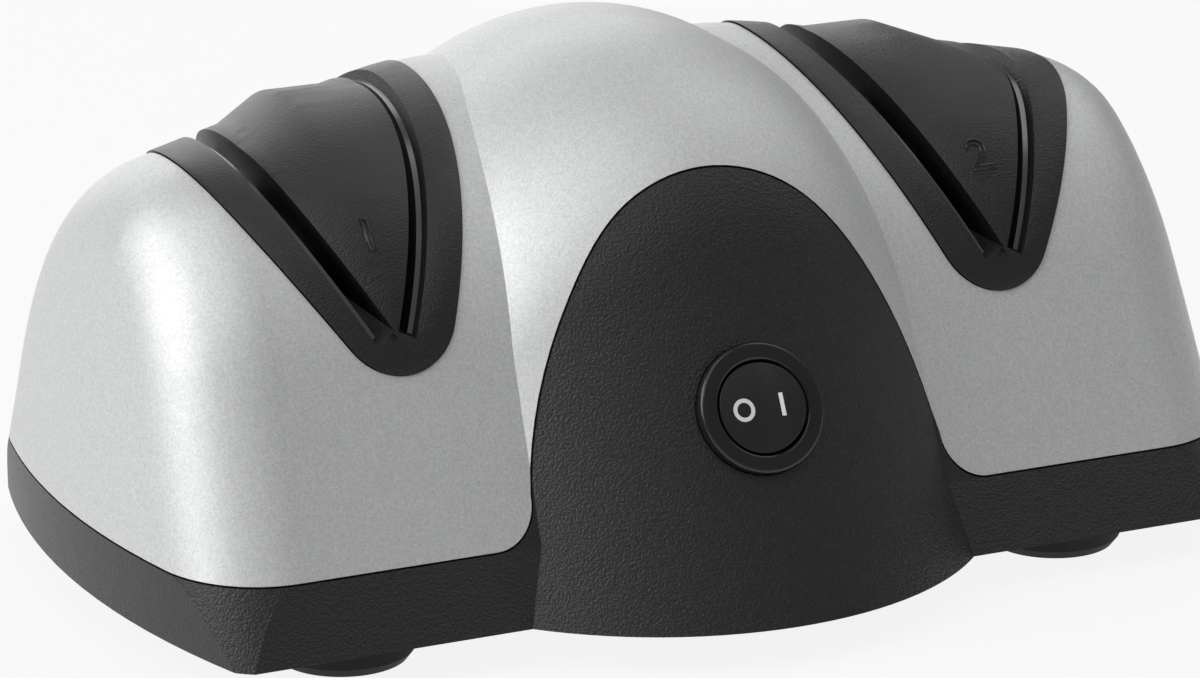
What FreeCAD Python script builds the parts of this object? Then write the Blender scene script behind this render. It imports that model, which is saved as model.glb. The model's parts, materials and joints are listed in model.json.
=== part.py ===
import FreeCAD, Part
import math
import os
import Sketcher
from FreeCAD import Placement, Rotation, Vector

# Electric knife sharpener: a silver cover over a black base, two slotted blade
# guides, and a motor whose shaft carries four grinding wheels.
# Millimetres. X runs to the right, Y to the back, Z up from the feet.
# Shapes are drawn with Y = 0 under the crown of the cover, and each piece is
# then set back by crown_back, so that the origin is below the middle of the whole.

doc = FreeCAD.newDocument("KnifeSharpener")
sheet = doc.addObject("Spreadsheet::Sheet", "Sizes")

SIZES = [
    ("crown_back", 15.8, "crown line behind the middle of the whole"),
    ("floor_height", 7.0, "lower rim of the base above the table"),
    ("crown_height", 86.9, "crown line of the wings above the table"),
    ("arch_radius", 62.0, "radius of the wings' front shoulder"),
    ("arch_centre", 24.4, "height of that radius's centre"),
    ("arch_back", 4.0, "that centre behind the crown line"),
    ("wing_lean", 26.2, "degrees that the wings' front leans back"),
    ("shoulder_turn", 55.0, "degrees up the shoulder where the crown's own arc starts"),
    ("back_depth", 41.0, "wing's back rim behind the crown line"),
    ("base_lean", 16.0, "degrees that the base's front leans back below the parting line"),
    ("base_tuck", 3.0, "degrees that the base's ends draw in below the parting line"),
    ("front_lean", 28.0, "degrees that the bulge and its panel lean back"),
    ("back_lean", 10.0, "degrees that the back leans forward"),
    ("half_length", 106.5, "end of the base from the middle"),
    ("end_lean", 9.0, "degrees that each end leans inwards"),
    ("end_bow", 185.0, "plan radius of each end"),
    ("end_middle", -10.0, "place along Y of each end's middle"),
    ("corner_round", 19.0, "rounding of the wings' ends"),
    ("crown_flat", 26.0, "half length of the level part of the crown line"),
    ("crown_bend", 120.0, "radius where the crown line turns down"),
    ("crown_slope", 7.7, "degrees that the crown line falls towards each end"),
    ("wall", 2.5, "wall of cover and base"),
    ("bulge_depth", 89.0, "front rim of the middle bulge ahead of the crown"),
    ("bulge_back", 54.0, "back rim of the bulge behind the crown"),
    ("bulge_height", 94.5, "top of the bulge"),
    ("bulge_half", 44.5, "half width of the bulge at its root"),
    ("bulge_round", 59.4, "plan radius of the bulge's front rim"),
    ("bulge_back_round", 150.0, "plan radius of the bulge's back rim"),
    ("bulge_crest", 47.5, "radius of the bulge across its top"),
    ("bulge_level", 9.0, "level stretch of the bulge's top ahead of the crown"),
    ("parting_height", 20.0, "line between base and cover"),
    ("parting_gap", 0.35, "shadow gap between cover and base"),
    ("panel_top", 77.7, "top of the black front panel"),
    ("panel_foot", 39.2, "half width of the panel above its flared foot"),
    ("flare_round", 8.2, "radius of that flare down to the parting line"),
    ("panel_waist", 36.4, "half width of the panel at waist_height"),
    ("waist_height", 40.0, "height of that half width"),
    ("panel_chest", 27.9, "half width of the panel at chest_height"),
    ("chest_height", 59.2, "height of that half width"),
    ("panel_neck", 16.6, "half width of the panel at neck_height"),
    ("neck_height", 72.4, "height of that half width"),
    ("guide_inside", 48.0, "guide's inner edge at the edges' height"),
    ("guide_outside", 67.4, "guide's outer edge at the edges' height"),
    ("edges_height", 55.0, "height where the edges' places are given"),
    ("inner_edge_tilt", 24.5, "degrees of the guide's inner edge from upright"),
    ("outer_edge_tilt", 34.4, "degrees of the guide's outer edge from upright"),
    ("tongue_round", 11.1, "radius of the guide's lower tongue"),
    ("guide_gap", 0.25, "gap round each guide"),
    ("guide_proud", 0.4, "guide's rim above the cover"),
    ("block_proud", 1.7, "front of the guide's block above the cover"),
    ("ridge_height", 86.0, "ridge of the guide's block above the table"),
    ("ridge_place", 59.0, "ridge of the block from the middle"),
    ("facet_slope", 17.0, "degrees that the block's outer facet falls"),
    ("slot_width", 3.9, "width of a knife slot"),
    ("slot_floor", 55.5, "lower end of the slots"),
    ("inner_slot", 56.8, "inner slot's middle at its floor"),
    ("outer_slot", 60.7, "outer slot's middle at its floor"),
    ("inner_tilt", 25.5, "degrees of the inner slot from upright"),
    ("outer_tilt", 29.5, "degrees of the outer slot from upright"),
    ("chute_wall", 1.6, "wall beside each slot"),
    ("rail_thick", 0.9, "thickness of a blade guide rail"),
    ("foot_radius", 12.5, "rubber foot"),
    ("foot_side", 69.5, "foot from the middle"),
    ("foot_front", -51.0, "front feet along Y"),
    ("foot_back", 24.0, "back feet along Y"),
    ("cover_gap", 0.3, "gap round the bottom cover"),
    ("cover_lift", 0.6, "bottom cover above the base's rim"),
    ("cover_thick", 2.5, "thickness of the bottom cover"),
    ("switch_height", 40.6, "middle of the switch above the table"),
    ("bezel_radius", 11.5, "flange of the switch"),
    ("bezel_proud", 1.6, "flange of the switch above the panel"),
    ("seat_depth", 1.2, "flat seat for the flange in the curved panel"),
    ("barrel_radius", 9.9, "barrel of the switch"),
    ("barrel_depth", 17.0, "barrel of the switch behind the panel"),
    ("rocker_radius", 8.0, "ball radius of the rocker"),
    ("rocker_gap", 0.3, "gap round the rocker"),
    ("rocker_slope", 7.0, "degrees of each rocker face"),
    ("shaft_height", 42.0, "motor shaft above the table"),
    ("shaft_radius", 3.0, "motor shaft"),
    ("shaft_half", 72.0, "half length of the motor shaft"),
    ("running_fit", 0.05, "gap between shaft and bearing"),
    ("wheel_radius", 23.5, "grinding wheel"),
    ("wheel_thick", 4.4, "thickness of a grinding wheel at its rim"),
    ("hub_radius", 7.0, "hub of a grinding wheel"),
    ("stack_half", 12.5, "half thickness of the stator stack"),
    ("stack_width", 50.0, "width of the stator stack"),
    ("stack_low", 22.0, "lower edge of the stator stack"),
    ("stack_high", 77.0, "upper edge of the stator stack"),
    ("rotor_radius", 15.6, "rotor"),
    ("air_gap", 0.5, "gap between rotor and stator"),
    ("bracket_place", 24.0, "bearing bracket from the middle"),
    ("bracket_thick", 2.0, "thickness of a bearing bracket"),
    ("bearing_radius", 6.0, "bearing bush"),
    ("fan_radius", 19.0, "cooling fan"),
    ("fan_place", -36.0, "cooling fan along X"),
    ("gland_height", 13.6, "cord gland above the table"),
    ("gland_bore", 3.3, "bore radius of the cord gland"),
    ("gland_radius", 4.6, "sleeve radius of the cord gland"),
    ("gland_length", 9.0, "length of the cord gland"),
    ("post_side", 87.0, "screw posts from the middle"),
    ("post_radius", 4.0, "screw posts"),
    ("screw_radius", 1.5, "case screws"),
]
for row, (alias, size, note) in enumerate(SIZES, start=1):
    sheet.set("A%d" % row, note)
    sheet.set("B%d" % row, repr(size))
    sheet.setAlias("B%d" % row, alias)
doc.recompute()


def size(alias):
    return float(sheet.get(alias))


BACK = size("crown_back")
FLOOR = size("floor_height")
WALL = size("wall")
PARTING = size("parting_height")
SEAM = PARTING + size("parting_gap") / 2
RIGHT = Vector(1, 0, 0)
DEEP = Vector(0, 1, 0)
UP = Vector(0, 0, 1)
pieces = []


def keep(thing, label):
    """Name a finished piece and set it back to its place in the whole."""
    thing.Label = label
    thing.Placement = Placement(Vector(0, BACK, 0), Rotation()).multiply(thing.Placement)
    pieces.append(thing)
    return thing


def shaped(label, shape):
    """A piece whose form comes from Part's own functions."""
    feature = doc.addObject("Part::Feature", label)
    feature.Shape = shape
    return keep(feature, label)


def bound(kind, name, place=None, rotation=None, **expressions):
    """A Part primitive with its sizes bound to the sheet."""
    thing = doc.addObject(kind, name)
    for property_name, expression in expressions.items():
        thing.setExpression(property_name, expression)
    thing.Placement = Placement(place or Vector(), rotation or Rotation())
    return thing


ALONG_X = Rotation(DEEP, 90)


def rod(name, radius, length, place, rotation=None):
    return bound("Part::Cylinder", name, place, rotation, Radius=radius, Height=length)


def cut(name, base, tool):
    result = doc.addObject("Part::Cut", name)
    result.Base = base
    result.Tool = tool
    return result


def join(name, shapes):
    result = doc.addObject("Part::MultiFuse", name)
    result.Shapes = shapes
    return result


def sin(degrees):
    return math.sin(math.radians(degrees))


def cos(degrees):
    return math.cos(math.radians(degrees))


def tan(degrees):
    return math.tan(math.radians(degrees))


def block(low, high):
    return Part.makeBox(*(high - low), low)


def polygon(points):
    return Part.Face(Part.makePolygon(points + [points[0]]))


def mirrored(shape):
    return shape.mirror(Vector(), RIGHT)


# Outer form: arches across Y and Z, lofted along X


def side_arc(depth, top, low, lean):
    """Arc from a leaning side line up to the crown: its centre height and radius."""
    centre = (top - depth * cos(lean) - low * sin(lean)) / (1 - sin(lean))
    return centre, top - centre


def around(x, y, z, radius, angle):
    """Point on a circle across Y and Z, angle up from the front."""
    return Vector(x, y - radius * cos(angle), z + radius * sin(angle))


def arch(x, front, back, top, low=FLOOR):
    """Closed arch section of the bulge: leaning front and back, two arcs, level top."""
    front_lean = size("front_lean")
    back_lean = size("back_lean")
    level = size("bulge_level")
    front_centre, front_radius = side_arc(front - level, top, FLOOR, front_lean)
    back_centre, back_radius = side_arc(back, top, FLOOR, back_lean)

    def on_front(angle):
        return around(x, -level, front_centre, front_radius, angle)

    def on_back(angle):
        return Vector(x, back_radius * cos(angle), back_centre + back_radius * sin(angle))

    crown = Vector(x, 0, top)
    front_crown = Vector(x, -level, top)
    foot = Vector(x, -front - (FLOOR - low) * tan(front_lean), low)
    heel = Vector(x, back + (FLOOR - low) * tan(back_lean), low)
    edges = [
        Part.LineSegment(foot, on_front(front_lean)).toShape(),
        Part.Arc(on_front(front_lean), on_front(45 + front_lean / 2), front_crown).toShape(),
        Part.LineSegment(front_crown, crown).toShape(),
        Part.Arc(crown, on_back(45 + back_lean / 2), on_back(back_lean)).toShape(),
        Part.LineSegment(on_back(back_lean), heel).toShape(),
        Part.LineSegment(heel, foot).toShape(),
    ]
    return Part.Wire(edges)


def crown_line(x):
    """Height of the wings' crown: level, then bent down to a steady slope."""
    slope = size("crown_slope")
    run = max(0, abs(x) - size("crown_flat"))
    bend = size("crown_bend") * sin(slope)
    fallen = fall(size("crown_bend"), min(run, bend)) + max(0, run - bend) * tan(slope)
    return size("crown_height") - fallen


def wing_section(x, inset, low, top):
    """Closed section of a wing: front line, shoulder, crown arc, back arc, back line."""
    lean = size("wing_lean")
    back_lean = size("back_lean")
    turn = size("shoulder_turn")
    y, z, radius = size("arch_back"), size("arch_centre"), size("arch_radius") - inset
    shoulder = around(x, y, z, radius, turn)
    rise = (top - shoulder.z) / (1 - sin(turn))
    crown_y = shoulder.y + rise * cos(turn)
    start = around(x, y, z, radius, lean)
    foot = start - Vector(0, (start.z - low) * tan(lean), start.z - low)
    back_z, back_radius = side_arc(size("back_depth") - inset - crown_y, top, FLOOR, back_lean)
    end = around(x, crown_y, back_z, back_radius, 180 - back_lean)
    heel = end + Vector(0, (end.z - low) * tan(back_lean), low - end.z)
    crown = Vector(x, crown_y, top)
    edges = [
        Part.LineSegment(foot, start).toShape(),
        Part.Arc(start, around(x, y, z, radius, (lean + turn) / 2), shoulder).toShape(),
        Part.Arc(shoulder, around(x, crown_y, top - rise, rise, 45 + turn / 2), crown).toShape(),
        Part.Arc(crown, around(x, crown_y, back_z, back_radius, 135 - back_lean / 2), end).toShape(),
        Part.LineSegment(end, heel).toShape(),
        Part.LineSegment(heel, foot).toShape(),
    ]
    return Part.Wire(edges)


def fall(radius, run):
    """How far an arc of this radius drops over a run from its crown."""
    return radius - math.sqrt(radius ** 2 - run ** 2)


def wing(inset, low):
    """Right wing, moved inwards by inset."""
    sections = [wing_section(x, inset, low, crown_line(x) - inset) for x in (0, 20, 32, 44, 60, 76, 92, 106, 122)]
    body = Part.makeLoft(sections, True)
    lean = size("end_lean")
    reach = size("half_length") - inset
    axis_x = size("half_length") - size("end_bow")
    top = size("crown_height") + 10
    outline = polygon([
        Vector(-20, size("end_middle"), low - 5),
        Vector(reach + (PARTING - low + 5) * tan(lean), size("end_middle"), low - 5),
        Vector(reach - (top - PARTING) * tan(lean), size("end_middle"), top),
        Vector(-20, size("end_middle"), top),
    ])
    centre = Vector(axis_x, size("end_middle"), 0)
    swing = 28
    outline.rotate(centre, UP, -swing)
    body = body.common(outline.revolve(centre, UP, 2 * swing))
    rim = [edge for edge in body.Edges
           if edge.BoundBox.XMin > 80 and edge.BoundBox.ZMax > low + 1]
    body = body.makeFillet(size("corner_round") - inset, rim)
    start = around(0, size("arch_back"), size("arch_centre"), size("arch_radius") - inset, size("wing_lean"))
    seam_y = start.y - (start.z - SEAM) * tan(size("wing_lean"))
    band_front = polygon([
        Vector(-30, seam_y - (SEAM - low + 5) * tan(size("base_lean")), low - 5),
        Vector(-30, seam_y, SEAM),
        Vector(-30, seam_y - 60, SEAM + 20),
        Vector(-30, seam_y - 60, top + 20),
        Vector(-30, 90, top + 20),
        Vector(-30, 90, low - 5),
    ]).extrude(RIGHT * 180)
    band_end = polygon([
        Vector(-20, size("end_middle"), low - 5),
        Vector(reach - (SEAM - low + 5) * tan(size("base_tuck")), size("end_middle"), low - 5),
        Vector(reach, size("end_middle"), SEAM),
        Vector(reach + 60, size("end_middle"), SEAM + 20),
        Vector(reach + 60, size("end_middle"), top + 20),
        Vector(-20, size("end_middle"), top + 20),
    ])
    band_end.rotate(centre, UP, -swing)
    return body.common(band_front).common(band_end.revolve(centre, UP, 2 * swing))


def bulge(inset, low):
    """Middle bulge from side to side, moved inwards by inset."""
    sections = []
    half = size("bulge_half")
    for share in (-1, -0.8, -0.55, -0.28, 0, 0.28, 0.55, 0.8, 1):
        x = half * share
        front = size("bulge_depth") - fall(size("bulge_round"), x)
        back = size("bulge_back") - fall(size("bulge_back_round"), x)
        top = size("bulge_height") - fall(size("bulge_crest"), x)
        sections.append(arch(x * (1 - inset / half), front - inset * 1.05, back - inset, top - inset, low))
    return Part.makeLoft(sections, True)


def body_form(inset, low=FLOOR):
    right = wing(inset, low)
    return right.fuse([mirrored(right), bulge(inset, low)]).removeSplitter()


outer = body_form(0)
inner = body_form(WALL, FLOOR - 4)
shell = outer.cut(inner)

# Split between the black base, with its front panel, and the silver cover


def panel_outline(gap):
    """Front panel's edge in X and Z, moved outwards by gap: an arch with a flared foot."""
    radius = size("flare_round") - gap
    centre = Vector(size("panel_foot") + size("flare_round"), -100, PARTING + size("flare_round"))
    middle = Vector(0, -100, size("waist_height"))
    right = [centre - RIGHT * radius]
    for part in ("waist", "chest", "neck"):
        point = Vector(size("panel_" + part), -100, size(part + "_height"))
        right.append(point + (point - middle).normalize() * gap)
    top = Vector(0, -100, size("panel_top") + gap)
    arch_curve = Part.BSplineCurve()
    arch_curve.interpolate(right + [top] + [Vector(-point.x, point.y, point.z) for point in reversed(right)])
    foot = centre - UP * radius
    flare = Part.Arc(foot, centre - (RIGHT + UP) * radius * cos(45), right[0]).toShape()
    corner = Vector(foot.x, -100, 0)
    edges = [
        flare, arch_curve.toShape(), mirrored(flare),
        Part.LineSegment(Vector(-foot.x, -100, foot.z), Vector(-foot.x, -100, 0)).toShape(),
        Part.LineSegment(Vector(-foot.x, -100, 0), corner).toShape(),
        Part.LineSegment(corner, foot).toShape(),
    ]
    return Part.Face(Part.Wire(edges))


def lower_region(gap):
    slab = block(Vector(-130, -110, -10), Vector(130, 80, PARTING + gap))
    return slab.fuse(panel_outline(gap).extrude(DEEP * 70))


# Blade guides


def guide_region(gap):
    """V-shaped prism through the right wing that holds its blade guide."""
    inner_tilt = size("inner_edge_tilt")
    outer_tilt = size("outer_edge_tilt")
    radius = size("tongue_round")
    near = size("guide_inside") + radius / cos(inner_tilt)
    far = size("guide_outside") - radius / cos(outer_tilt)
    rise = (near - far) / (tan(inner_tilt) + tan(outer_tilt))
    middle = Vector(near - rise * tan(inner_tilt), -75, size("edges_height") + rise)
    round_edge = radius + gap

    def edge_point(side, tilt):
        return middle + Vector(side * round_edge * cos(tilt), 0, -round_edge * sin(tilt))

    def far_point(side, tilt):
        return edge_point(side, tilt) + Vector(side * 60 * tan(tilt), 0, 60)

    left_low = edge_point(-1, inner_tilt)
    right_low = edge_point(1, outer_tilt)
    left_high = far_point(-1, inner_tilt)
    right_high = far_point(1, outer_tilt)
    edges = [
        Part.Arc(left_low, middle - UP * round_edge, right_low).toShape(),
        Part.LineSegment(right_low, right_high).toShape(),
        Part.LineSegment(right_high, left_high).toShape(),
        Part.LineSegment(left_high, left_low).toShape(),
    ]
    return Part.Face(Part.Wire(edges)).extrude(DEEP * 140)


def slot_box(outside, thick, low, high, front=-80, back=70):
    """Upright slab turned to a slot's tilt: the inner slot leans to the middle."""
    name, turn = ("outer", 1) if outside else ("inner", -1)
    foot = Vector(size(name + "_slot"), 0, size("slot_floor"))
    slab = block(Vector(-thick / 2, front, low), Vector(thick / 2, back, high))
    slab.rotate(Vector(), DEEP, turn * size(name + "_tilt"))
    slab.translate(foot)
    return slab


def wheel_places():
    """Where each wheel's outer rim face stands along X, on the right side."""
    rise = size("shaft_height") + size("wheel_radius") - size("slot_floor")
    inner_face = size("inner_slot") - rise * tan(size("inner_tilt"))
    outer_face = size("outer_slot") + rise * tan(size("outer_tilt"))
    return inner_face, outer_face


def block_form():
    """Guide block before it is trimmed: a level roof, then a facet that falls outwards."""
    sections = []
    ridge = size("ridge_place")
    for x in (30, ridge, 92):
        top = size("ridge_height") - max(0, x - ridge) * tan(size("facet_slope"))
        sections.append(wing_section(x, -size("block_proud"), FLOOR, top))
    return Part.makeLoft(sections, True, True)


rim_form = wing(-size("guide_proud"), FLOOR)
wing_hollow = wing(WALL, FLOOR - 4)


def blade_guide():
    """Right-hand blade guide: saddle plate, raised middle block, slots and their walls."""
    region = guide_region(0)
    saddle = rim_form.common(region).cut(wing_hollow)
    wall = size("chute_wall")
    width = size("slot_width")
    between = polygon([
        Vector(size("inner_slot") + width / 2, -75, size("slot_floor")),
        Vector(size("outer_slot") - width / 2, -75, size("slot_floor")),
        Vector(size("outer_slot") - width / 2 + 50 * tan(size("outer_tilt")), -75, size("slot_floor") + 50),
        Vector(size("inner_slot") + width / 2 - 50 * tan(size("inner_tilt")), -75, size("slot_floor") + 50),
    ]).extrude(DEEP * 140)
    raised = block_form().common(between).cut(wing_hollow)
    guide = saddle.fuse(raised)
    for outside in (False, True):
        chute = slot_box(outside, width + 2 * wall, -wall, 50)
        chute = chute.common(rim_form).common(region)
        guide = guide.fuse(chute)
    for outside in (False, True):
        guide = guide.cut(slot_box(outside, width, 0, 60))
    window = Part.makeCylinder(size("wheel_radius") + 1.2, 40, Vector(38, 0, size("shaft_height")), RIGHT)
    inner_face, outer_face = wheel_places()
    reach = size("wheel_thick") + 1.2
    near = block(Vector(inner_face - 0.8, -30, 20), Vector(inner_face + reach, 30, 70))
    far = block(Vector(outer_face - reach, -30, 20), Vector(outer_face + 0.8, 30, 70))
    return guide.cut(window.common(near.fuse(far)))


guide_right = blade_guide()
opening = guide_region(size("guide_gap")).fuse(mirrored(guide_region(size("guide_gap"))))


def rail(outside):
    """Thin guide rail that lines a slot's wall on the side away from the block."""
    turn = 1 if outside else -1
    thick = size("rail_thick")
    offset = turn * (size("slot_width") / 2 - thick / 2 - 0.05)
    slab = slot_box(outside, thick, 0.2, 60)
    tilt = size("outer_tilt" if outside else "inner_tilt")
    slab.translate(Vector(offset * cos(tilt), 0, -abs(offset) * sin(tilt)))
    lowered = wing(1.2, FLOOR)
    strip = slab.common(lowered)
    window = Part.makeCylinder(size("wheel_radius") + 1.2, 60, Vector(30, 0, size("shaft_height")), RIGHT)
    return strip.cut(window)


# Cover with its screw posts


def post(x, y, top):
    """Hollow post for a case screw, down to the bottom cover."""
    low = FLOOR + size("cover_lift") + size("cover_thick")
    tube = Part.makeCylinder(size("post_radius"), top - low, Vector(x, y, low), UP)
    return tube.common(inner)


POSTS = [(side * size("post_side"), y) for side in (-1, 1) for y in (-34.0, 14.0)]


def pilot(x, y, radius, top):
    return Part.makeCylinder(radius, top + 5, Vector(x, y, -5), UP)


cover = shell.cut(lower_region(size("parting_gap"))).cut(opening)
for x, y in POSTS:
    cover = cover.fuse(post(x, y, 74))
for x, y in POSTS:
    cover = cover.cut(pilot(x, y, size("screw_radius") - 0.05, 40))
shaped("top_cover", cover)

# Base with its front panel, switch hole, gland hole and an inner lip

LEAN = size("front_lean")
panel_y = -size("bulge_depth") + (size("switch_height") - FLOOR) * tan(LEAN)
switch_place = Vector(0, panel_y, size("switch_height"))
panel_out = Vector(0, -cos(LEAN), sin(LEAN))
panel_turn = Rotation(UP, panel_out)
switch_frame = Placement(switch_place, panel_turn)


def at_switch(shape):
    """Move a shape drawn with +Z out of the panel to the switch's place."""
    shape.Placement = switch_frame.multiply(shape.Placement)
    return shape


gland_place = Vector(0, size("bulge_back") + 1.2, size("gland_height"))
base = shell.common(lower_region(0))
lip_low = PARTING - 5
lip_high = PARTING + 2.5
lip = body_form(WALL + 0.05, FLOOR - 4).cut(body_form(WALL + 1.3, FLOOR - 6))
lip = lip.common(block(Vector(-130, -58, lip_low), Vector(130, 80, lip_high)))
lip = lip.cut(block(Vector(-48, -110, 0), Vector(48, -30, 60)))
tie = body_form(WALL - 0.4, FLOOR - 4).cut(body_form(WALL + 1.0, FLOOR - 6))
tie = tie.common(block(Vector(-130, -110, lip_low), Vector(130, 80, PARTING - 0.5)))
base = base.fuse(tie.common(outer)).fuse(lip)
base = base.cut(at_switch(Part.makeCylinder(size("barrel_radius") + 0.15, 40, Vector(0, 0, -20), UP)))
seat = Part.makeCylinder(size("bezel_radius") + 0.15, 20, Vector(0, 0, -size("seat_depth")), UP)
base = base.cut(at_switch(seat))
gland_hole = Part.makeCylinder(size("gland_radius") + 0.05, 30, gland_place - DEEP * 20, DEEP)
base = base.cut(gland_hole)
shaped("base_housing", base)

# Bottom cover with vents and screw holes

cover_low = FLOOR + size("cover_lift")
cover_high = cover_low + size("cover_thick")
plate = body_form(WALL + size("cover_gap"), FLOOR - 4)
plate = plate.common(block(Vector(-130, -110, cover_low), Vector(130, 80, cover_high)))
for index in range(9):
    x = (index - 4) * 7.0
    for y in (-46.0, 12.0):
        plate = plate.cut(block(Vector(x - 1.5, y, 0), Vector(x + 1.5, y + 24, 20)))
for x, y in POSTS:
    plate = plate.cut(pilot(x, y, size("screw_radius") + 0.3, 30))
    plate = plate.cut(Part.makeCylinder(3.4, 1.4, Vector(x, y, cover_low), UP))
notch = Part.makeCylinder(size("gland_radius") + size("cover_gap"), 40, gland_place - DEEP * 30, DEEP)
shaped("bottom_cover", plate.cut(notch))

# Blade guides and rails on both sides

shaped("blade_guide_2", guide_right)
shaped("blade_guide_1", mirrored(guide_right))
rails = {"inner": rail(False), "outer": rail(True)}
for name, strip in rails.items():
    shaped("guide_rail_2_" + name, strip)
    shaped("guide_rail_1_" + name, mirrored(strip))

# Rubber feet: a round pad with a bevelled lower edge

FEET = {
    "front_left": (-1, "foot_front"), "front_right": (1, "foot_front"),
    "rear_left": (-1, "foot_back"), "rear_right": (1, "foot_back"),
}
for name, (side, row) in FEET.items():
    place = Vector(side * size("foot_side"), size(row), 1.6)
    pad = rod("Pad_" + name, "Sizes.foot_radius", "Sizes.floor_height + Sizes.cover_lift - 1.6", place)
    toe = bound("Part::Cone", "Toe_" + name, place - UP * 1.6, Radius1="Sizes.foot_radius - 1.2",
                Radius2="Sizes.foot_radius", Height="1.6")
    keep(join("Foot_" + name, [pad, toe]), "foot_" + name)

# Switch: flange and barrel in one, rocker, two terminals


def ring(radius, inner_radius, low, high):
    whole = Part.makeCylinder(radius, high - low, Vector(0, 0, low), UP)
    return whole.cut(Part.makeCylinder(inner_radius, high - low + 2, Vector(0, 0, low - 1), UP))


def switch_case():
    hollow = size("rocker_radius") + size("rocker_gap")
    proud = size("bezel_proud")
    flange = ring(size("bezel_radius"), hollow, 0.05 - size("seat_depth"), proud)
    rounded = [edge for edge in flange.Edges if abs(edge.BoundBox.ZMin - proud) < 0.01]
    flange = flange.makeFillet(0.7, rounded)
    barrel = ring(size("barrel_radius"), hollow, -size("barrel_depth"), 0.1 - size("seat_depth"))
    floor_plate = Part.makeCylinder(size("barrel_radius"), 2.0, Vector(0, 0, -size("barrel_depth")), UP)
    return flange.fuse(barrel).fuse(floor_plate).removeSplitter()


def rocker():
    """Ball-sided rocker with two faces that slope up to its sides, set with O pressed."""
    ball = Part.makeSphere(size("rocker_radius"))
    slope = size("rocker_slope")
    half = size("rocker_radius") + 2
    rise = 1.2
    top = polygon([
        Vector(-half, -half, -4.5), Vector(half, -half, -4.5), Vector(half, -half, rise + half * tan(slope)),
        Vector(0, -half, rise), Vector(-half, -half, rise + half * tan(slope)),
    ]).extrude(DEEP * 2 * half)
    button = ball.common(top)
    button.rotate(Vector(), DEEP, -slope)
    return button


shaped("switch_case", at_switch(switch_case()))
shaped("switch_rocker", at_switch(rocker()))
for name, x in (("switch_terminal_left", -3.5), ("switch_terminal_right", 3.5)):
    low = -size("barrel_depth") - 8
    blade = block(Vector(x - 0.4, -2.4, low), Vector(x + 0.4, 2.4, -size("barrel_depth")))
    shaped(name, at_switch(blade))

# Motor: stack, coil, brackets and bearings

shaft_z = size("shaft_height")


def origin_plane(body, role):
    return [plane for plane in body.Origin.OriginFeatures if plane.Role == role][0]


def stator():
    """Lamination stack as a padded sketch with a bore and a coil window."""
    body = doc.addObject("PartDesign::Body", "Stator")
    sketch = body.newObject("Sketcher::SketchObject", "StackOutline")
    sketch.AttachmentSupport = (origin_plane(body, "YZ_Plane"), [""])
    sketch.MapMode = "FlatFace"
    half = size("stack_width") / 2
    low, high = size("stack_low"), size("stack_high")

    def rectangle(y0, z0, y1, z1):
        corners = [Vector(y0, z0, 0), Vector(y1, z0, 0), Vector(y1, z1, 0), Vector(y0, z1, 0)]
        for start, end in zip(corners, corners[1:] + corners[:1]):
            sketch.addGeometry(Part.LineSegment(start, end), False)

    rectangle(-half, low, half, high)
    rectangle(-half + 10, high - 18, half - 10, high - 8)
    bore = Part.Circle(Vector(0, shaft_z, 0), UP, size("rotor_radius") + size("air_gap"))
    index = sketch.addGeometry(bore, False)
    number = sketch.addConstraint(Sketcher.Constraint("Radius", index, bore.Radius))
    sketch.setExpression("Constraints[%d]" % number, "Sizes.rotor_radius + Sizes.air_gap")
    pad = body.newObject("PartDesign::Pad", "Stack")
    pad.Profile = sketch
    pad.Midplane = True
    pad.setExpression("Length", "2 * Sizes.stack_half")
    return body


keep(stator(), "stator_core")


def coil():
    """Field coil round the stack's upper leg."""
    high = size("stack_high")
    half = size("stack_half")
    wound = block(Vector(-half - 6, -14, high - 17.5), Vector(half + 6, 14, high + 6.5))
    wound = wound.makeFillet(3.0, [edge for edge in wound.Edges if edge.BoundBox.YLength > 20])
    return wound.cut(block(Vector(-half - 0.1, -20, high - 8.1), Vector(half + 0.1, 20, high + 0.1)))


shaped("field_coil", coil())
for side, name in ((-1, "left"), (1, "right")):
    x = side * size("bracket_place")
    start = Vector(min(x, x + side * size("bracket_thick")), -22, 25)
    plate_box = bound("Part::Box", "Plate_" + name, start, Length="Sizes.bracket_thick", Width="44", Height="36")
    hole = rod("Hole_" + name, "Sizes.bearing_radius", "20", Vector(x - 10, 0, shaft_z), ALONG_X)
    keep(cut("Bracket_" + name, plate_box, hole), "bearing_bracket_" + name)
    bush = rod("Bush_" + name, "Sizes.bearing_radius", "7", Vector(x + side - 3.5, 0, shaft_z), ALONG_X)
    bore = rod("Bore_" + name, "Sizes.shaft_radius + Sizes.running_fit", "20", Vector(x - 10, 0, shaft_z), ALONG_X)
    keep(cut("Bearing_" + name, bush, bore), "bearing_" + name)

PILLARS = [(y, z) for y in (-17.5, 17.5) for z in (28.0, 57.0)]
pillar_rods = []
for number, (y, z) in enumerate(PILLARS):
    for side in (-1, 1):
        low_x = min(side * size("stack_half"), side * size("bracket_place"))
        span = size("bracket_place") - size("stack_half")
        pillar_rods.append(Part.makeCylinder(2.5, span, Vector(low_x, y, z), RIGHT))
shaped("motor_pillars", Part.makeCompound(pillar_rods))
for name, y in (("front", -20.0), ("rear", 10.0)):
    start = Vector(-size("stack_half"), y, cover_high)
    keep(bound("Part::Box", "Cushion_" + name, start, Length="2 * Sizes.stack_half", Width="10",
               Height="Sizes.stack_low - Sizes.floor_height - Sizes.cover_lift - Sizes.cover_thick"),
         "motor_cushion_" + name)

# Spinning group: shaft, rotor, fan, wheels, springs' collars

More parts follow.
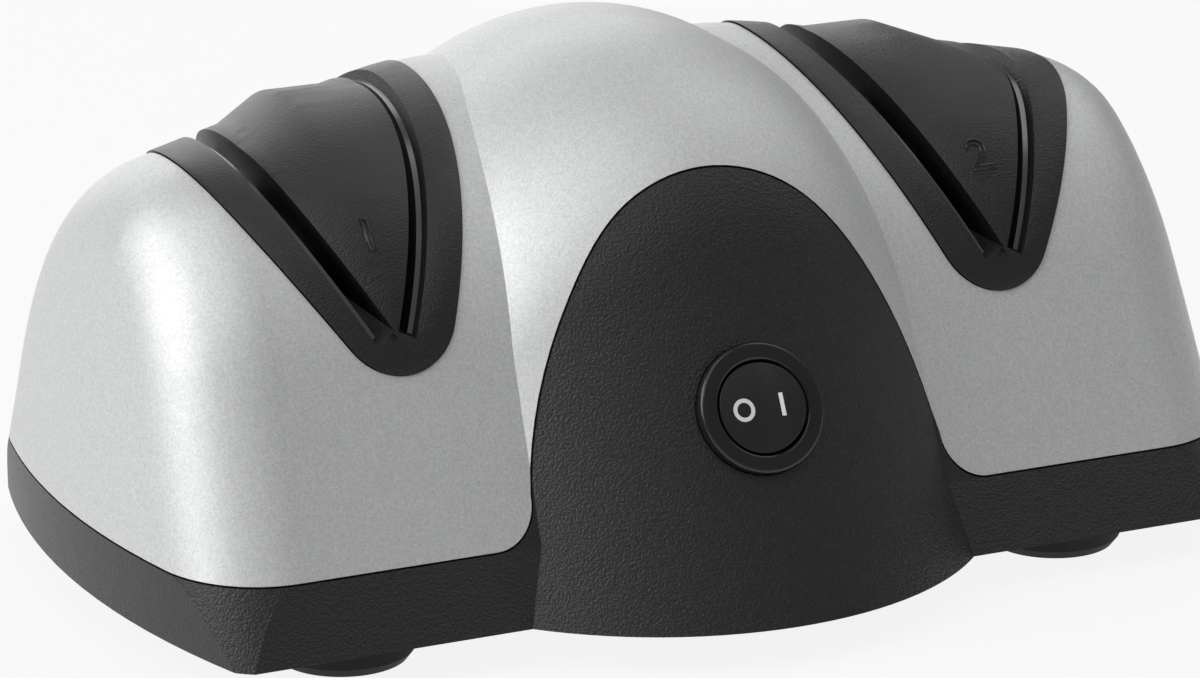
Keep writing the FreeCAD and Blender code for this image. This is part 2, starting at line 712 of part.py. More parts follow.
keep(rod("Shaft", "Sizes.shaft_radius", "2 * Sizes.shaft_half", Vector(-size("shaft_half"), 0, shaft_z), ALONG_X),
     "motor_shaft")
core = rod("Core", "Sizes.rotor_radius", "2 * Sizes.stack_half", Vector(-size("stack_half"), 0, shaft_z), ALONG_X)
core_bore = rod("CoreBore", "Sizes.shaft_radius", "60", Vector(-30, 0, shaft_z), ALONG_X)
keep(cut("Rotor", core, core_bore), "rotor_core")


def fan():
    """Hub with seven pitched blades."""
    x = size("fan_place")
    hub = Part.makeCylinder(6.5, 7, Vector(x - 3.5, 0, 0), RIGHT)
    count = 7
    for index in range(count):
        blade = block(Vector(-0.6, -4.5, 5.5), Vector(0.6, 4.5, size("fan_radius")))
        blade.rotate(Vector(), UP, 35)
        blade.translate(Vector(x, 0, 0))
        blade.rotate(Vector(), RIGHT, 360.0 * index / count)
        hub = hub.fuse(blade)
    hub = hub.cut(Part.makeCylinder(size("shaft_radius"), 20, Vector(x - 10, 0, 0), RIGHT))
    hub.translate(UP * shaft_z)
    return hub


shaped("cooling_fan", fan())


def wheel(face, inward, tilt):
    """Grinding wheel: hub and disc, with a rim bevel that lies along the slot."""
    radius = size("wheel_radius")
    hub = size("hub_radius")
    bore_radius = size("shaft_radius")
    bevel = 4.0
    dish = face + inward * bevel * tan(tilt)
    back_face = face + inward * size("wheel_thick")
    hub_end = back_face + inward * 1.2
    profile = polygon([
        Vector(dish, 0, bore_radius), Vector(hub_end, 0, bore_radius), Vector(hub_end, 0, hub),
        Vector(back_face, 0, hub), Vector(back_face, 0, radius), Vector(face, 0, radius),
        Vector(dish, 0, radius - bevel),
    ])
    disc = profile.revolve(Vector(), RIGHT, 360)
    disc.translate(UP * shaft_z)
    return disc


inner_face, outer_face = wheel_places()
for side, number in ((-1, "1"), (1, "2")):
    near = wheel(inner_face, 1, size("inner_tilt"))
    far = wheel(outer_face, -1, size("outer_tilt"))
    gap_low = inner_face + size("wheel_thick") + 1.2
    gap_high = outer_face - size("wheel_thick") - 1.2
    spring = Part.makeCylinder(4.6, gap_high - gap_low, Vector(gap_low, 0, shaft_z), RIGHT)
    spring = spring.cut(Part.makeCylinder(3.6, 60, Vector(gap_low - 1, 0, shaft_z), RIGHT))
    near_end = inner_face + 4.0 * tan(size("inner_tilt"))
    far_end = outer_face - 4.0 * tan(size("outer_tilt"))
    collar = Part.makeCylinder(5.0, 3.0, Vector(near_end - 3, 0, shaft_z), RIGHT)
    collar = collar.cut(Part.makeCylinder(size("shaft_radius"), 9, Vector(near_end - 6, 0, shaft_z), RIGHT))
    clip = Part.makeCylinder(4.6, 1.0, Vector(far_end, 0, shaft_z), RIGHT)
    clip = clip.cut(Part.makeCylinder(size("shaft_radius"), 5, Vector(far_end - 2, 0, shaft_z), RIGHT))
    group = {"wheel_" + number + "_inner": near, "wheel_" + number + "_outer": far,
             "wheel_spring_" + number: spring, "shaft_collar_" + number: collar, "retaining_ring_" + number: clip}
    for name, shape in group.items():
        shaped(name, shape if side > 0 else mirrored(shape))

# Filings trays under the wheels


def tray():
    low = Vector(47.0, -28.0, cover_high)
    high = Vector(73.0, 26.0, cover_high + 7)
    return block(low, high).cut(block(low + Vector(1.5, 1.5, 1.5), high + Vector(-1.5, -1.5, 5)))


shaped("filings_tray_2", tray())
shaped("filings_tray_1", mirrored(tray()))

# Cord gland in the back of the base: flange outside, sleeve through the wall

sleeve = Part.makeCylinder(size("gland_radius"), size("gland_length"),
                           gland_place + DEEP * (2.2 - size("gland_length")), DEEP)
flange = Part.makeCylinder(6.0, 2.2, gland_place, DEEP)
bore = Part.makeCylinder(size("gland_bore"), 40, gland_place - DEEP * 20, DEEP)
shaped("cord_gland", sleeve.fuse(flange).cut(bore))

# Case screws, one group of four


def screw(x, y):
    head = Part.makeCylinder(3.0, 1.3, Vector(x, y, cover_low + 0.1), UP)
    shank = Part.makeCylinder(size("screw_radius") - 0.1, 24, Vector(x, y, cover_low + 1.0), UP)
    return head.fuse(shank)


shaped("case_screws", Part.makeCompound([screw(x, y) for x, y in POSTS]))

# Check every object, then write one file for each piece

doc.recompute()
for thing in doc.Objects:
    if "Invalid" in thing.State or "Error" in thing.State:
        raise RuntimeError("failed object: " + thing.Name)
os.makedirs("parts", exist_ok=True)
for piece in pieces:
    shape = piece.Shape
    if shape.isNull() or not shape.isValid() or shape.Volume <= 0:
        raise RuntimeError("bad shape: " + piece.Label)
    shape.exportStep("parts/" + piece.Label + ".step")
    print(piece.Label, len(shape.Solids), round(shape.Volume))
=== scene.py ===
import json
import math

import bpy
from bpy.props import FloatProperty, FloatVectorProperty, PointerProperty
from mathutils import Matrix, Vector


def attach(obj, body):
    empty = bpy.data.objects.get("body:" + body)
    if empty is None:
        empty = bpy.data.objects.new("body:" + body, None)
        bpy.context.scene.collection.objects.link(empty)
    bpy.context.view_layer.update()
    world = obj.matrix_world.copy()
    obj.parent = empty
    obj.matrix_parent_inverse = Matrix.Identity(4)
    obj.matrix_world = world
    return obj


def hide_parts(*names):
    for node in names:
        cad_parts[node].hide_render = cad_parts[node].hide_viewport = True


bl_info = {
    "name": "Knife Sharpener Finish",
    "version": (1, 0, 0),
    "blender": (4, 5, 0),
    "location": "View3D > Sidebar > Sharpener",
    "description": "Finishes of an electric knife sharpener: silver cover, black base, guides and switch",
    "category": "Object",
}

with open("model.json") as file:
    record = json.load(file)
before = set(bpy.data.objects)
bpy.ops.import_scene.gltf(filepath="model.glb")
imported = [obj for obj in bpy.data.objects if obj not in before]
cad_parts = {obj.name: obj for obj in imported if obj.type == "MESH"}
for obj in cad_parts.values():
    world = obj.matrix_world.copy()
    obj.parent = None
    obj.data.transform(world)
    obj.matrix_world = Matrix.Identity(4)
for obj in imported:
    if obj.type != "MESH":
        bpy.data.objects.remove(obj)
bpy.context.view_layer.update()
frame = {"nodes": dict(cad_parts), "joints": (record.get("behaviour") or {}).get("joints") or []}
nodes = frame["nodes"]

ROCKER_JOINT = [j for j in frame["joints"] if j["name"] == "rocker_tilt"][0]
SPINDLE_JOINT = [j for j in frame["joints"] if j["name"] == "spindle_spin"][0]
SHAFT_DEPTH = SPINDLE_JOINT["pos_m"][1]

MERGE_GAP = 2e-6
FLAT_ANGLE = math.radians(0.4)
SMOOTH_ANGLE = math.radians(40)
PRINT_LIFT = 0.00002
DIGIT_SHARE = 0.73


class SharpenerView(bpy.types.PropertyGroup):
    turn: FloatProperty(name="Turn", description="Camera's place to the left of straight ahead",
                        default=math.radians(24.67), subtype="ANGLE")
    lift: FloatProperty(name="Lift", description="Camera's height above the horizon",
                        default=math.radians(17.23), subtype="ANGLE")
    distance: FloatProperty(name="Distance", description="Camera to the middle of the object",
                            default=1.0, subtype="DISTANCE")
    lens: FloatProperty(name="Lens", description="Focal length in millimetres", default=164.4)
    aim_right: FloatProperty(name="Aim right", description="Aim point right of the crown",
                             default=0.00248, subtype="DISTANCE")
    aim_up: FloatProperty(name="Aim up", description="Aim point above the middle height",
                          default=-0.01206, subtype="DISTANCE")
    middle_height: FloatProperty(name="Middle height", description="Height that the camera turns about",
                                 default=0.045, subtype="DISTANCE")
    floor_glow: FloatProperty(name="Floor glow", description="Share of plain white in the floor as seen",
                              default=0.88, subtype="FACTOR")
    room_light: FloatProperty(name="Room light", description="Strength of the white surroundings",
                              default=0.26)
    floor_width: FloatProperty(name="Floor width", description="Side of the square floor", default=8.0,
                               subtype="DISTANCE")


class SharpenerColours(bpy.types.PropertyGroup):
    silver: FloatVectorProperty(name="Silver paint", description="Paint of the cover",
                                default=(0.60, 0.605, 0.61), subtype="COLOR")
    black: FloatVectorProperty(name="Black plastic", description="Textured plastic of base and guides",
                               default=(0.009, 0.009, 0.0095), subtype="COLOR")
    gloss_black: FloatVectorProperty(name="Gloss black", description="Switch and the numbers on the guides",
                                     default=(0.010, 0.010, 0.011), subtype="COLOR")
    rubber: FloatVectorProperty(name="Rubber", description="Feet and gland",
                                default=(0.020, 0.020, 0.020), subtype="COLOR")
    mark: FloatVectorProperty(name="Marks", description="Printed marks on the rocker",
                              default=(0.80, 0.80, 0.80), subtype="COLOR")
    floor: FloatVectorProperty(name="Floor", description="Pale floor",
                               default=(0.60, 0.60, 0.60), subtype="COLOR")


class SharpenerSizes(bpy.types.PropertyGroup):
    circle_mark: FloatProperty(name="O mark", description="Outer width of the O",
                               default=0.00405, subtype="DISTANCE")
    bar_mark: FloatProperty(name="I mark", description="Height of the I", default=0.00404, subtype="DISTANCE")
    mark_stroke: FloatProperty(name="Stroke", description="Stroke of both marks",
                               default=0.00072, subtype="DISTANCE")
    mark_side: FloatProperty(name="Mark place", description="Marks from the rocker's middle",
                             default=0.00345, subtype="DISTANCE")
    mark_proud: FloatProperty(name="Print", description="Thickness of the printed marks",
                              default=0.00006, subtype="DISTANCE")
    rocker_rise: FloatProperty(name="Rocker rise", description="Rocker's middle above the panel",
                               default=0.00119, subtype="DISTANCE")
    number_height: FloatProperty(name="Number height", description="Height of the number on each guide",
                                 default=0.0066, subtype="DISTANCE")
    number_line: FloatProperty(name="Number line", description="Half width of the number's raised outline",
                               default=0.00022, subtype="DISTANCE")
    number_place: FloatProperty(name="Number place", description="Each number from the middle of the object",
                                default=0.0592, subtype="DISTANCE")
    number_turn: FloatProperty(name="Number turn", description="Degrees up the guide's front arc",
                               default=math.radians(49.0), subtype="ANGLE")
    arc_height: FloatProperty(name="Arc height", description="Height of the centre of the guide's front arc",
                              default=0.0244, subtype="DISTANCE")
    edge_round: FloatProperty(name="Edge", description="Rounding of the guides' moulded edges",
                              default=0.0003, subtype="DISTANCE")
    switch_round: FloatProperty(name="Switch edge", description="Rounding of the edges of rocker and bezel",
                                default=0.0004, subtype="DISTANCE")


def colours():
    return bpy.context.scene.sharpener_colours


def sizes():
    return bpy.context.scene.sharpener_sizes


# Materials: each finish is a short function


def new_material(name, colour, roughness, metallic=0.0):
    material = bpy.data.materials.new(name)
    material.use_nodes = True
    shader = material.node_tree.nodes["Principled BSDF"]
    shader.inputs["Base Color"].default_value = (*colour, 1)
    shader.inputs["Roughness"].default_value = roughness
    shader.inputs["Metallic"].default_value = metallic
    return material, shader


def add(material, kind, **settings):
    node = material.node_tree.nodes.new(kind)
    for name, value in settings.items():
        setattr(node, name, value)
    return node


def link(material, output, socket):
    material.node_tree.links.new(output, socket)


def object_place(material):
    return add(material, "ShaderNodeTexCoord").outputs["Object"]


def noise(material, grain, detail=2.0):
    """Noise whose lumps are about grain metres across."""
    node = add(material, "ShaderNodeTexNoise")
    node.inputs["Scale"].default_value = 1.0 / grain
    node.inputs["Detail"].default_value = detail
    link(material, object_place(material), node.inputs["Vector"])
    return node


def spots(material, grain):
    """Cells about grain metres across, each with its own random shade."""
    node = add(material, "ShaderNodeTexVoronoi")
    node.inputs["Scale"].default_value = 1.0 / grain
    link(material, object_place(material), node.inputs["Vector"])
    return node


def ramp(material, value, stops):
    """Map a value through colour stops given as (place, colour)."""
    node = add(material, "ShaderNodeValToRGB")
    node.color_ramp.elements[0].position = stops[0][0]
    node.color_ramp.elements[0].color = (*stops[0][1], 1)
    node.color_ramp.elements[1].position = stops[-1][0]
    node.color_ramp.elements[1].color = (*stops[-1][1], 1)
    for place, colour in stops[1:-1]:
        node.color_ramp.elements.new(place).color = (*colour, 1)
    link(material, value, node.inputs["Fac"])
    return node.outputs["Color"]


def spread(material, value, low, high):
    """Map a value from 0..1 to low..high."""
    node = add(material, "ShaderNodeMapRange")
    node.inputs["To Min"].default_value = low
    node.inputs["To Max"].default_value = high
    link(material, value, node.inputs["Value"])
    return node.outputs["Result"]


def bump(material, shader, height, depth, strength=1.0):
    node = add(material, "ShaderNodeBump")
    node.inputs["Distance"].default_value = depth
    node.inputs["Strength"].default_value = strength
    link(material, height, node.inputs["Height"])
    link(material, node.outputs["Normal"], shader.inputs["Normal"])


def shade(colour, factor):
    return tuple(min(1.0, channel * factor) for channel in colour)


def silver_paint():
    """Satin metallic paint: fine flakes in a clear binder."""
    base = tuple(colours().silver)
    material, shader = new_material("silver_paint", base, 0.5, 0.45)
    flakes = spots(material, 0.00028)
    stops = [(0.0, shade(base, 0.86)), (0.5, base), (1.0, shade(base, 1.14))]
    tone = ramp(material, flakes.outputs["Color"], stops)
    link(material, tone, shader.inputs["Base Color"])
    cloud = noise(material, 0.004)
    link(material, spread(material, cloud.outputs["Fac"], 0.46, 0.54), shader.inputs["Roughness"])
    bump(material, shader, flakes.outputs["Distance"], 0.00002, 0.25)
    return material


def textured_black(name="textured_black", grain=0.00045, depth=0.00022):
    """Moulded plastic with a fine spark-eroded grain."""
    base = tuple(colours().black)
    material, shader = new_material(name, base, 0.5)
    pits = noise(material, grain, 3.0)
    tone = ramp(material, pits.outputs["Fac"], [(0.3, shade(base, 0.75)), (0.7, shade(base, 1.35))])
    link(material, tone, shader.inputs["Base Color"])
    link(material, spread(material, pits.outputs["Fac"], 0.30, 0.44), shader.inputs["Roughness"])
    bump(material, shader, pits.outputs["Fac"], depth)
    return material


def gloss_black():
    material, shader = new_material("gloss_black", tuple(colours().gloss_black), 0.16)
    ripple = noise(material, 0.012)
    link(material, spread(material, ripple.outputs["Fac"], 0.13, 0.2), shader.inputs["Roughness"])
    bump(material, shader, ripple.outputs["Fac"], 0.00004, 0.3)
    return material


def rail_gloss():
    """Polished dark rail that mirrors the light at its upper end."""
    material, shader = new_material("rail_gloss", (0.16, 0.16, 0.165), 0.2, 0.9)
    ripple = noise(material, 0.008)
    link(material, spread(material, ripple.outputs["Fac"], 0.16, 0.24), shader.inputs["Roughness"])
    return material


def satin_black():
    """Rocker: finely matted black."""
    base = tuple(colours().gloss_black)
    material, shader = new_material("satin_black", base, 0.34)
    grain = noise(material, 0.0002)
    link(material, spread(material, grain.outputs["Fac"], 0.30, 0.42), shader.inputs["Roughness"])
    bump(material, shader, grain.outputs["Fac"], 0.00001, 0.5)
    return material


def soft_rubber():
    base = tuple(colours().rubber)
    material, shader = new_material("soft_rubber", base, 0.75)
    grain = noise(material, 0.0006)
    stops = [(0.3, shade(base, 0.8)), (0.7, shade(base, 1.4))]
    link(material, ramp(material, grain.outputs["Fac"], stops), shader.inputs["Base Color"])
    bump(material, shader, grain.outputs["Fac"], 0.00005, 0.5)
    return material


def plain_metal(name, colour, roughness):
    """Metal with fine drawn lines along X: the pattern is stretched that way."""
    material, shader = new_material(name, colour, roughness, 1.0)
    mapping = add(material, "ShaderNodeMapping")
    mapping.inputs["Scale"].default_value = (0.06, 1.0, 1.0)
    link(material, object_place(material), mapping.inputs["Vector"])
    lines = add(material, "ShaderNodeTexNoise")
    lines.inputs["Scale"].default_value = 3000.0
    link(material, mapping.outputs["Vector"], lines.inputs["Vector"])
    link(material, spread(material, lines.outputs["Fac"], roughness * 0.7, roughness * 1.3),
         shader.inputs["Roughness"])
    return material


def abrasive():
    """Fine-grained sintered stone."""
    base = (0.42, 0.40, 0.37)
    material, shader = new_material("abrasive", base, 0.8)
    grains = spots(material, 0.0004)
    stops = [(0.0, shade(base, 0.5)), (1.0, shade(base, 1.5))]
    link(material, ramp(material, grains.outputs["Color"], stops), shader.inputs["Base Color"])
    bump(material, shader, grains.outputs["Distance"], 0.0001, 0.8)
    return material


def print_white():
    material, shader = new_material("print_white", tuple(colours().mark), 0.5)
    speck = noise(material, 0.0003)
    link(material, spread(material, speck.outputs["Fac"], 0.42, 0.58), shader.inputs["Roughness"])
    return material


def plain_plastic(name, colour, roughness):
    material, shader = new_material(name, colour, roughness)
    haze = noise(material, 0.002)
    link(material, spread(material, haze.outputs["Fac"], roughness * 0.85, roughness * 1.15),
         shader.inputs["Roughness"])
    return material


def paint(names, material):
    """Give CAD nodes one finish."""
    for name in names:
        mesh = nodes[name].data
        mesh.materials.clear()
        mesh.materials.append(material)


def named(*starts):
    return sorted(name for name in nodes if name.startswith(starts))


# Modelling helpers


def clear_selection():
    if bpy.context.object and bpy.context.object.mode != "OBJECT":
        bpy.ops.object.mode_set(mode="OBJECT")
    bpy.ops.object.select_all(action="DESELECT")


def finish_piece(piece, name, body, material):
    """Name a new piece, bake its place into its mesh and let it ride on its body."""
    clear_selection()
    piece.select_set(True)
    bpy.context.view_layer.objects.active = piece
    bpy.ops.object.transform_apply(location=True, rotation=True, scale=True)
    piece.name = name
    piece.data.name = name
    piece.data.materials.clear()
    piece.data.materials.append(material)
    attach(piece, body)
    return piece


def select_only(piece):
    clear_selection()
    piece.select_set(True)
    bpy.context.view_layer.objects.active = piece


def apply_modifier(piece, kind, **settings):
    select_only(piece)
    modifier = piece.modifiers.new(kind.title(), kind)
    for name, value in settings.items():
        setattr(modifier, name, value)
    bpy.ops.object.modifier_apply(modifier=modifier.name)


def rounded_copy(node, name, body, material, width, sharp=math.radians(35)):
    """Copy of a CAD piece whose sharp edges are rounded as moulding leaves them."""
    mesh = nodes[node].data.copy()
    piece = bpy.data.objects.new(name, mesh)
    bpy.context.scene.collection.objects.link(piece)
    select_only(piece)
    bpy.ops.object.mode_set(mode="EDIT")
    bpy.ops.mesh.select_all(action="SELECT")
    bpy.ops.mesh.remove_doubles(threshold=MERGE_GAP)
    bpy.ops.mesh.dissolve_limited(angle_limit=FLAT_ANGLE)
    bpy.ops.object.mode_set(mode="OBJECT")
    apply_modifier(piece, "BEVEL", width=width, segments=2, limit_method="ANGLE",
                   angle_limit=sharp, use_clamp_overlap=True)
    bpy.ops.object.shade_smooth_by_angle(angle=SMOOTH_ANGLE)
    finish_piece(piece, name, body, material)
    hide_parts(node)
    return piece


# Operators: one for each group of like pieces


class SHARPENER_OT_stage(bpy.types.Operator):
    """Pale floor, soft lamps, white surroundings and the camera"""
    bl_idname = "sharpener.stage"
    bl_label = "Stage"

    def execute(self, context):
        clear_selection()
        floor_material, shader = new_material("pale_floor", tuple(colours().floor), 0.9)
        bpy.ops.mesh.primitive_plane_add(size=context.scene.sharpener_view.floor_width, location=(0, 0, 0))
        floor = context.object
        floor.name = "floor"
        self.whiten(context, floor_material, shader)
        floor.data.materials.append(floor_material)
        self.world(context)
        self.lamps()
        self.camera(context)
        return {"FINISHED"}

    def whiten(self, context, material, shader):
        """Let the floor look nearly white, also in reflections, and still keep the object's shadow."""
        glow = add(material, "ShaderNodeEmission")
        glow.inputs["Color"].default_value = (1, 1, 1, 1)
        path = add(material, "ShaderNodeLightPath")
        share = add(material, "ShaderNodeMath", operation="MULTIPLY")
        share.inputs[1].default_value = context.scene.sharpener_view.floor_glow
        seen = add(material, "ShaderNodeMath", operation="MAXIMUM")
        link(material, path.outputs["Is Camera Ray"], seen.inputs[0])
        link(material, path.outputs["Is Glossy Ray"], seen.inputs[1])
        link(material, seen.outputs[0], share.inputs[0])
        mix = add(material, "ShaderNodeMixShader")
        link(material, share.outputs[0], mix.inputs["Fac"])
        link(material, shader.outputs["BSDF"], mix.inputs[1])
        link(material, glow.outputs["Emission"], mix.inputs[2])
        link(material, mix.outputs["Shader"], material.node_tree.nodes["Material Output"].inputs["Surface"])

    def world(self, context):
        world = bpy.data.worlds.new("white_room")
        context.scene.world = world
        world.use_nodes = True
        tree = world.node_tree
        tree.nodes.clear()
        out = tree.nodes.new("ShaderNodeOutputWorld")
        room = tree.nodes.new("ShaderNodeBackground")
        seen = tree.nodes.new("ShaderNodeBackground")
        mix = tree.nodes.new("ShaderNodeMixShader")
        path = tree.nodes.new("ShaderNodeLightPath")
        room.inputs["Color"].default_value = (1, 1, 1, 1)
        room.inputs["Strength"].default_value = context.scene.sharpener_view.room_light
        seen.inputs["Color"].default_value = (1, 1, 1, 1)
        seen.inputs["Strength"].default_value = 1.0
        tree.links.new(path.outputs["Is Camera Ray"], mix.inputs["Fac"])
        tree.links.new(room.outputs[0], mix.inputs[1])
        tree.links.new(seen.outputs[0], mix.inputs[2])
        tree.links.new(mix.outputs[0], out.inputs["Surface"])

    def lamps(self):
        """Soft square lamps, each with its place, width and power, aimed at the object's middle."""
        aim = Vector((0, 0, 0.04))
        for name, place, width, power in (
            ("lamp_left", (-1.35, 0.05, 0.80), 1.2, 17.5),
            ("lamp_top", (-0.40, -0.40, 1.35), 1.2, 6.0),
            ("lamp_back", (0.2, 1.60, 0.70), 1.5, 9.0),
            ("lamp_right", (0.95, 0.25, 1.15), 1.0, 3.0),
        ):
            lamp = bpy.data.lights.new(name, "AREA")
            lamp.shape = "SQUARE"
            lamp.size = width
            lamp.energy = power
            holder = bpy.data.objects.new(name, lamp)
            bpy.context.scene.collection.objects.link(holder)
            holder.location = place
            holder.rotation_euler = (aim - Vector(place)).to_track_quat("-Z", "Y").to_euler()

    def camera(self, context):
        view = context.scene.sharpener_view
        right = Vector((math.cos(view.turn), -math.sin(view.turn), 0))
        ahead = Vector((math.sin(view.turn) * math.cos(view.lift), math.cos(view.turn) * math.cos(view.lift),
                        -math.sin(view.lift)))
        up = right.cross(ahead)
        middle = Vector((0, SHAFT_DEPTH, view.middle_height))
        camera = bpy.data.objects.new("camera", bpy.data.cameras.new("camera"))
        context.scene.collection.objects.link(camera)
        camera.location = middle - ahead * view.distance
        aim = middle + right * view.aim_right + up * view.aim_up
        camera.rotation_euler = (aim - camera.location).to_track_quat("-Z", "Y").to_euler()
        camera.data.lens = view.lens
        camera.data.sensor_width = 36.0
        camera.data.clip_start = 0.01
        camera.data.clip_end = 50.0
        context.scene.camera = camera


class SHARPENER_OT_cover(bpy.types.Operator):
    """Silver paint on the top cover"""
    bl_idname = "sharpener.cover"
    bl_label = "Silver cover"

    def execute(self, context):
        paint(["top_cover"], silver_paint())
        return {"FINISHED"}


class SHARPENER_OT_base(bpy.types.Operator):
    """Textured black on the base and its bottom cover, rubber on feet and gland"""
    bl_idname = "sharpener.base"
    bl_label = "Black base"

    def execute(self, context):
        paint(["base_housing", "bottom_cover"], textured_black())
        paint(named("foot_", "cord_gland", "motor_cushion"), soft_rubber())
        return {"FINISHED"}


class SHARPENER_OT_guides(bpy.types.Operator):
    """Textured black on the blade guides, gloss on their rails and a number on each"""
    bl_idname = "sharpener.guides"
    bl_label = "Blade guides"

    def execute(self, context):
        black = textured_black("guide_black", 0.0004, 0.00014)
        paint(named("blade_guide"), black)
        paint(named("guide_rail"), rail_gloss())
        number_finish = gloss_black()
        for side, digit in ((-1, "1"), (1, "2")):
            guide = "blade_guide_" + digit
            self.number(side, digit, guide, number_finish)
            rounded_copy(guide, "guide_body_" + digit, "housing", black, sizes().edge_round)
        return {"FINISHED"}

    def number(self, side, digit, guide, material):
        """Number on the front of the guide's block, as a raised outline."""
        turn = sizes().number_turn
        ahead = Vector((0, -math.cos(turn), math.sin(turn)))
        arc_centre = Vector((side * sizes().number_place, SHAFT_DEPTH, sizes().arc_height))
        well_outside = arc_centre + ahead * 0.2
        hit, place, outward = nodes[guide].ray_cast(well_outside, -ahead)[:3]
        if not hit:
            raise RuntimeError("no guide surface below number " + digit)
        across = Vector((0, 0, 1)).cross(outward).normalized()
        upward = outward.cross(across)
        clear_selection()
        bpy.ops.object.text_add()
        text = bpy.context.object
        text.data.body = digit
        text.data.align_x = "CENTER"
        text.data.align_y = "CENTER"
        text.data.size = sizes().number_height / DIGIT_SHARE
        text.data.fill_mode = "NONE"
        text.data.bevel_depth = sizes().number_line
        text.data.bevel_resolution = 2
        bpy.ops.object.convert(target="MESH")
        piece = bpy.context.object
        frame_turn = Matrix((across, upward, outward)).transposed().to_4x4()
        piece.matrix_world = Matrix.Translation(place) @ frame_turn
        finish_piece(piece, "number_" + digit, "housing", material)


class SHARPENER_OT_switch(bpy.types.Operator):
    """Rocker switch with its two marks"""
    bl_idname = "sharpener.switch"
    bl_label = "Rocker switch"

    def execute(self, context):
        rocker_finish = satin_black()
        ring_finish = gloss_black()
        paint(["switch_case"], ring_finish)
        paint(["switch_rocker"], rocker_finish)
        width = sizes().switch_round
        rounded_copy("switch_rocker", "rocker_button", "rocker", rocker_finish, width)
        rounded_copy("switch_case", "switch_bezel", "housing", ring_finish, width)
        white = print_white()
        self.circle_mark(white)
        self.bar_mark(white)
        return {"FINISHED"}

    def on_face(self, side):
        """Place of a mark: the left face lies flat, the right one stands up at twice the slope."""
        upward = Vector(ROCKER_JOINT["axis"]).normalized()
        across = Vector((1, 0, 0))
        outward = across.cross(upward)
        slope = math.radians(ROCKER_JOINT["range_deg"][1]) if side > 0 else 0.0
        reach = side * sizes().mark_side
        rise = sizes().rocker_rise + max(0.0, reach) * math.tan(slope) + PRINT_LIFT
        place = Vector(ROCKER_JOINT["pos_m"]) + across * reach + outward * rise
        face_across = across * math.cos(slope) + outward * math.sin(slope)
        face_out = face_across.cross(upward)
        turn = Matrix((face_across, upward, face_out)).transposed().to_4x4()
        return Matrix.Translation(place) @ turn

    def circle_mark(self, material):
        outer = sizes().circle_mark / 2
        clear_selection()
        bpy.ops.mesh.primitive_circle_add(vertices=64, radius=outer, fill_type="NGON")
        piece = bpy.context.object
        bpy.ops.object.mode_set(mode="EDIT")
        bpy.ops.mesh.select_all(action="SELECT")
        bpy.ops.mesh.inset(thickness=sizes().mark_stroke)
        bpy.ops.mesh.delete(type="FACE")
        bpy.ops.object.mode_set(mode="OBJECT")
        apply_modifier(piece, "SOLIDIFY", thickness=sizes().mark_proud, offset=1.0)
        piece.matrix_world = self.on_face(-1)
        finish_piece(piece, "mark_circle", "rocker", material)

    def bar_mark(self, material):
        clear_selection()
        bpy.ops.mesh.primitive_plane_add(size=1.0)
        piece = bpy.context.object
        piece.scale = (sizes().mark_stroke, sizes().bar_mark, 1)
        bpy.ops.object.transform_apply(scale=True)
        apply_modifier(piece, "SOLIDIFY", thickness=sizes().mark_proud, offset=1.0)
        apply_modifier(piece, "BEVEL", width=sizes().mark_proud / 3, segments=2)
        piece.matrix_world = self.on_face(1)
        finish_piece(piece, "mark_bar", "rocker", material)


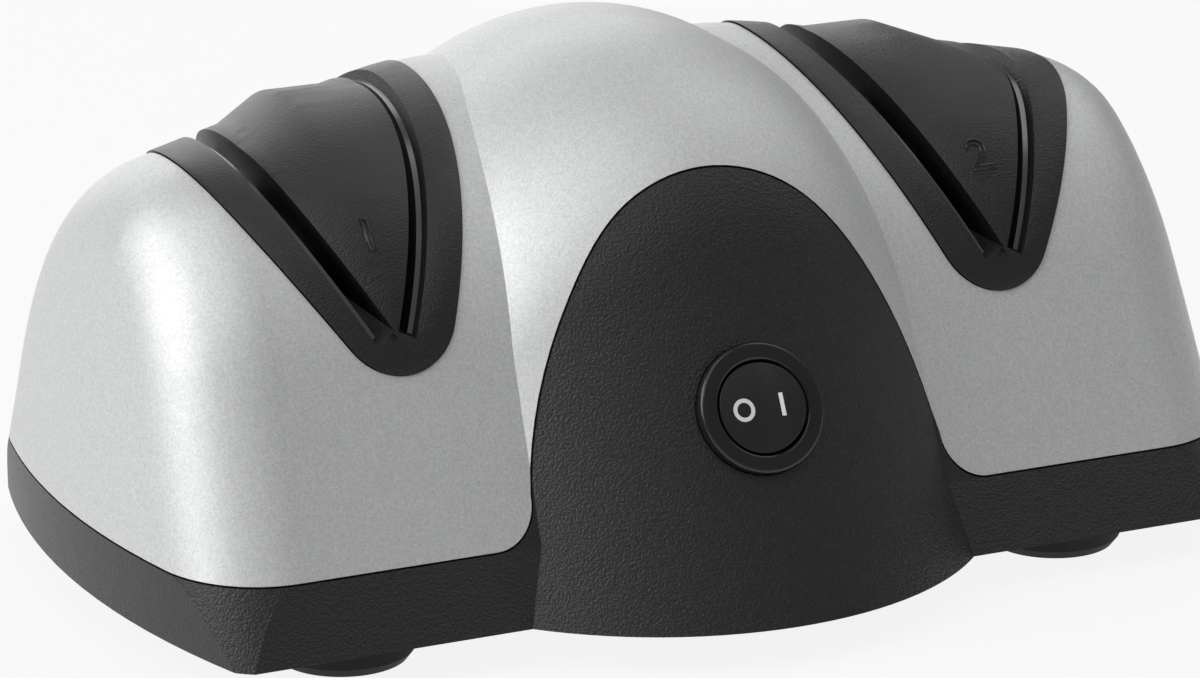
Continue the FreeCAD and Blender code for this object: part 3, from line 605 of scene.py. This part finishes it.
class SHARPENER_OT_works(bpy.types.Operator):
    """Motor, spindle, wheels, trays and screws"""
    bl_idname = "sharpener.works"
    bl_label = "Inner works"

    def execute(self, context):
        paint(["stator_core", "rotor_core"], plain_metal("stack_steel", (0.32, 0.32, 0.33), 0.45))
        bright = plain_metal("bright_steel", (0.62, 0.62, 0.63), 0.28)
        paint(named("bearing_bracket", "motor_shaft", "motor_pillars", "case_screws", "wheel_spring",
                    "shaft_collar", "retaining_ring"), bright)
        paint(["bearing_left", "bearing_right"], plain_metal("bush_bronze", (0.55, 0.38, 0.2), 0.35))
        paint(named("switch_terminal"), plain_metal("terminal_brass", (0.72, 0.55, 0.25), 0.3))
        paint(["field_coil"], plain_metal("coil_copper", (0.6, 0.24, 0.1), 0.4))
        paint(named("wheel_1", "wheel_2"), abrasive())
        paint(["cooling_fan"], plain_plastic("white_nylon", (0.75, 0.75, 0.72), 0.5))
        paint(named("filings_tray"), plain_plastic("tray_black", (0.02, 0.02, 0.02), 0.5))
        return {"FINISHED"}


OPERATORS = (SHARPENER_OT_stage, SHARPENER_OT_cover, SHARPENER_OT_base, SHARPENER_OT_guides,
             SHARPENER_OT_switch, SHARPENER_OT_works)


class SHARPENER_PT_panel(bpy.types.Panel):
    """Shows a button for each operator and the settings in the sidebar"""
    bl_idname = "SHARPENER_PT_panel"
    bl_label = "Sharpener"
    bl_space_type = "VIEW_3D"
    bl_region_type = "UI"
    bl_category = "Sharpener"

    def draw(self, context):
        for operator in OPERATORS:
            self.layout.operator(operator.bl_idname)
        scene = context.scene
        for group in (scene.sharpener_colours, scene.sharpener_sizes, scene.sharpener_view):
            for name in group.__annotations__:
                self.layout.prop(group, name)


CLASSES = (SharpenerView, SharpenerColours, SharpenerSizes, *OPERATORS, SHARPENER_PT_panel)


def register():
    for cls in CLASSES:
        bpy.utils.register_class(cls)
    bpy.types.Scene.sharpener_view = PointerProperty(type=SharpenerView)
    bpy.types.Scene.sharpener_colours = PointerProperty(type=SharpenerColours)
    bpy.types.Scene.sharpener_sizes = PointerProperty(type=SharpenerSizes)


def unregister():
    del bpy.types.Scene.sharpener_view
    del bpy.types.Scene.sharpener_colours
    del bpy.types.Scene.sharpener_sizes
    for cls in reversed(CLASSES):
        bpy.utils.unregister_class(cls)


def main():
    register()
    bpy.context.scene.view_settings.view_transform = "Standard"
    bpy.ops.sharpener.stage()
    bpy.ops.sharpener.cover()
    bpy.ops.sharpener.base()
    bpy.ops.sharpener.guides()
    bpy.ops.sharpener.switch()
    bpy.ops.sharpener.works()


if __name__ == "__main__":
    main()
